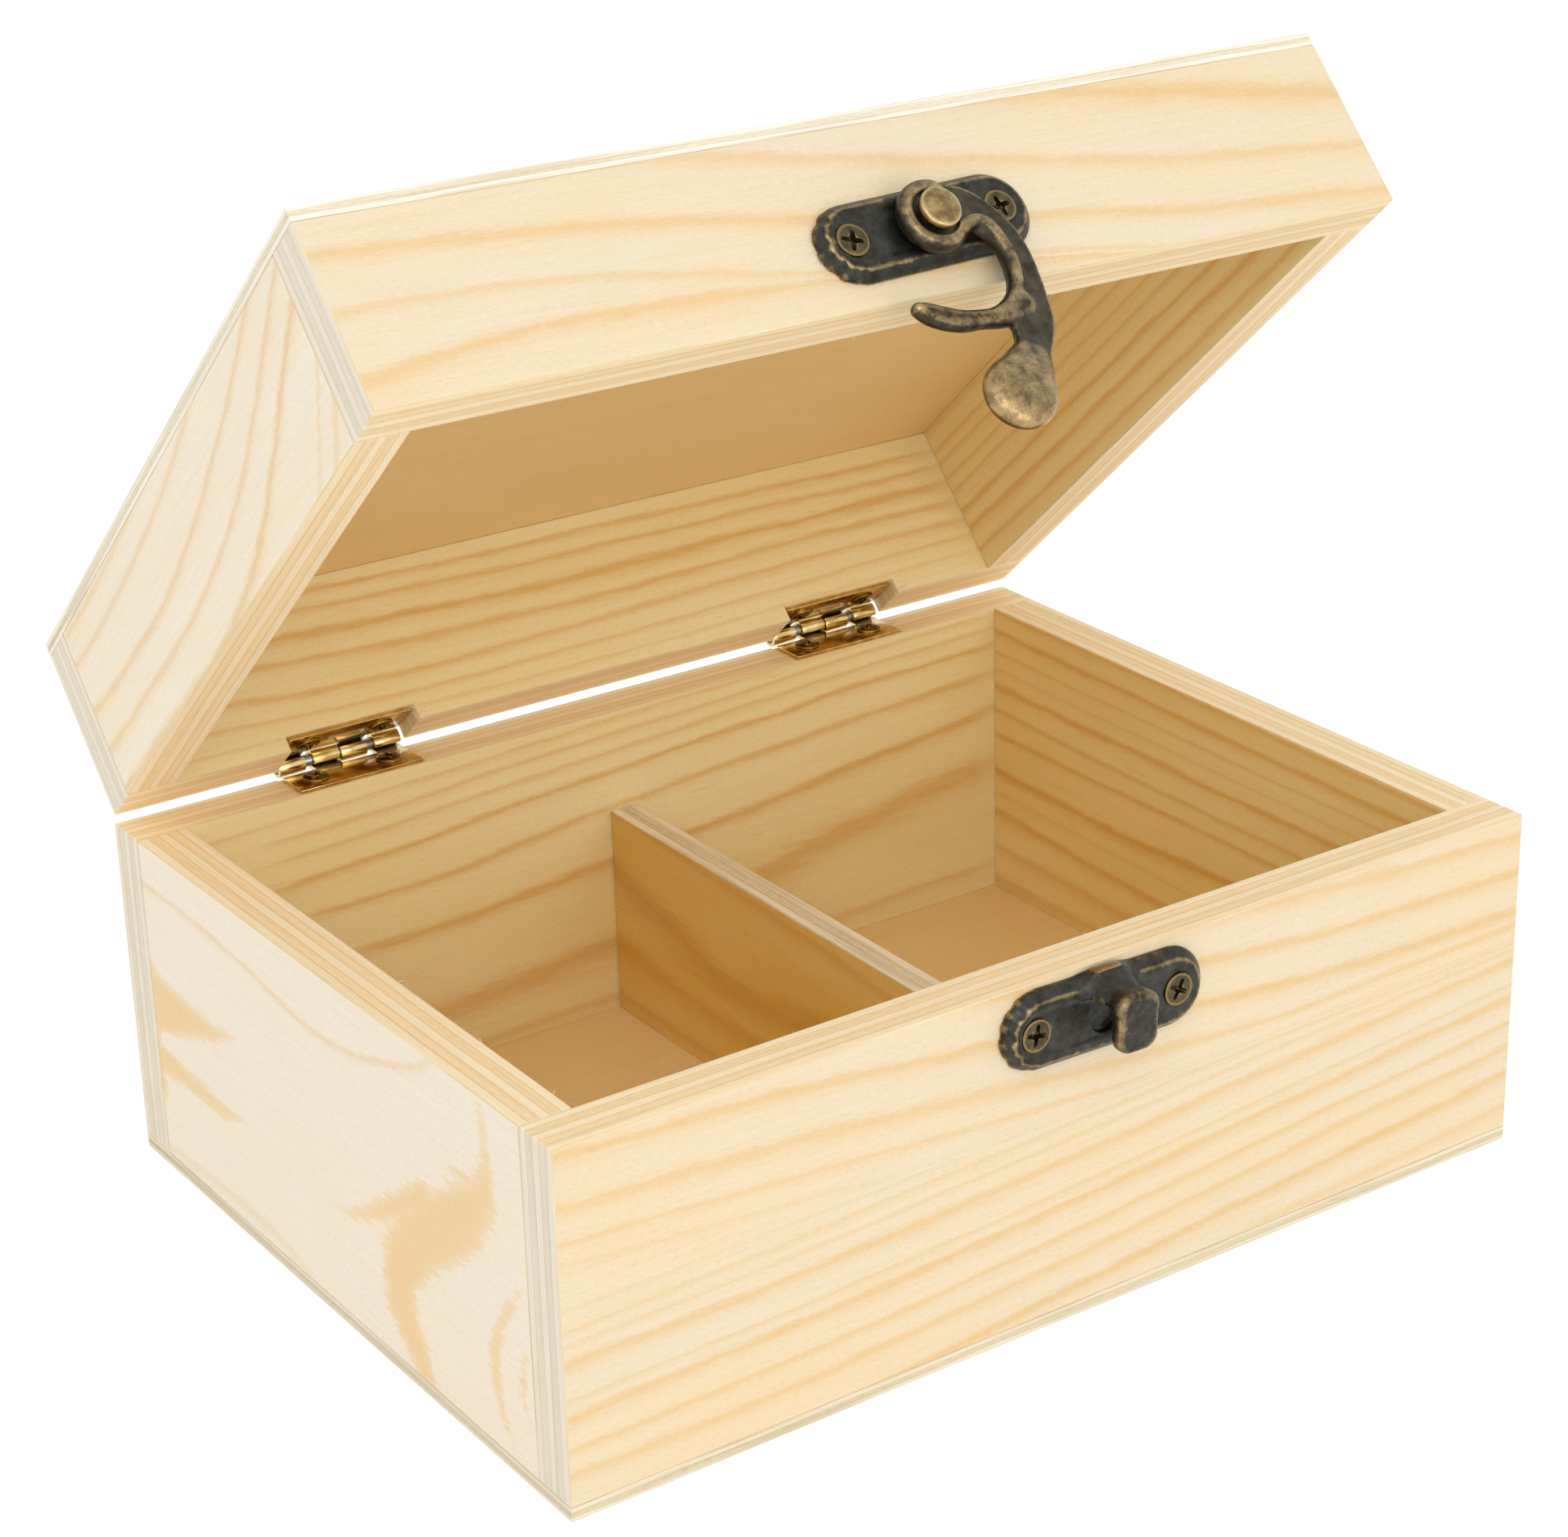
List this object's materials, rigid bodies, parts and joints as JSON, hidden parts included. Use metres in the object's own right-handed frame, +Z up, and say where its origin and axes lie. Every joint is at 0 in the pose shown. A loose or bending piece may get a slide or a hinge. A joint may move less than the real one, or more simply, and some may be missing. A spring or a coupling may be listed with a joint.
{
  "type": "hinged box",
  "caption": "Small plywood box with a hinged lid on two butt hinges, one divider making two compartments, and a swing-hook latch on the front.",
  "frame": {"origin": "middle of the underside of the base", "axes": "+X to the right along the front, +Y to the back, +Z up; the lid is open by 42.5 degrees at rest"},
  "size_m": [0.16, 0.1471, 0.1549],
  "materials": {
    "pine_plywood": "unfinished pine-faced plywood, lightly sanded",
    "thin_plywood": "unfinished thin plywood sheet",
    "hinge_brass": "bright brass plate",
    "pin_steel": "bare steel wire",
    "latch_bronze": "antique bronze over a zinc casting, rubbed bright on its raised edges"
  },
  "bodies": {
    "base": {"base_front_panel": "pine_plywood", "base_back_panel": "pine_plywood", "base_left_panel": "pine_plywood", "base_right_panel": "pine_plywood", "base_bottom_sheet": "thin_plywood", "divider": "pine_plywood", "left_hinge_base_leaf": "hinge_brass", "left_hinge_pin": "pin_steel", "left_hinge_base_screws": "hinge_brass", "right_hinge_base_leaf": "hinge_brass", "right_hinge_pin": "pin_steel", "right_hinge_base_screws": "hinge_brass", "catch_plate": "latch_bronze", "catch_plate_screws": "latch_bronze"},
    "lid": {"lid_front_panel": "pine_plywood", "lid_back_panel": "pine_plywood", "lid_left_panel": "pine_plywood", "lid_right_panel": "pine_plywood", "lid_top_sheet": "thin_plywood", "left_hinge_lid_leaf": "hinge_brass", "left_hinge_lid_screws": "hinge_brass", "right_hinge_lid_leaf": "hinge_brass", "right_hinge_lid_screws": "hinge_brass", "latch_plate": "latch_bronze", "latch_plate_screws": "latch_bronze", "latch_rivet": "latch_bronze"},
    "latch_hook": {"latch_hook": "latch_bronze"}
  },
  "joints": [
    {"name": "lid_hinge", "type": "hinge", "parent": "base", "child": "lid", "pos_m": [0, 0.0612, 0.0533], "axis": [-1, 0, 0], "range_deg": [-42.5, 137.5]},
    {"name": "hook_pivot", "type": "hinge", "parent": "lid", "child": "latch_hook", "pos_m": [0.0028, -0.02262, 0.14123], "axis": [0, -0.7373, 0.6756], "range_deg": [0, 180]}
  ]
}
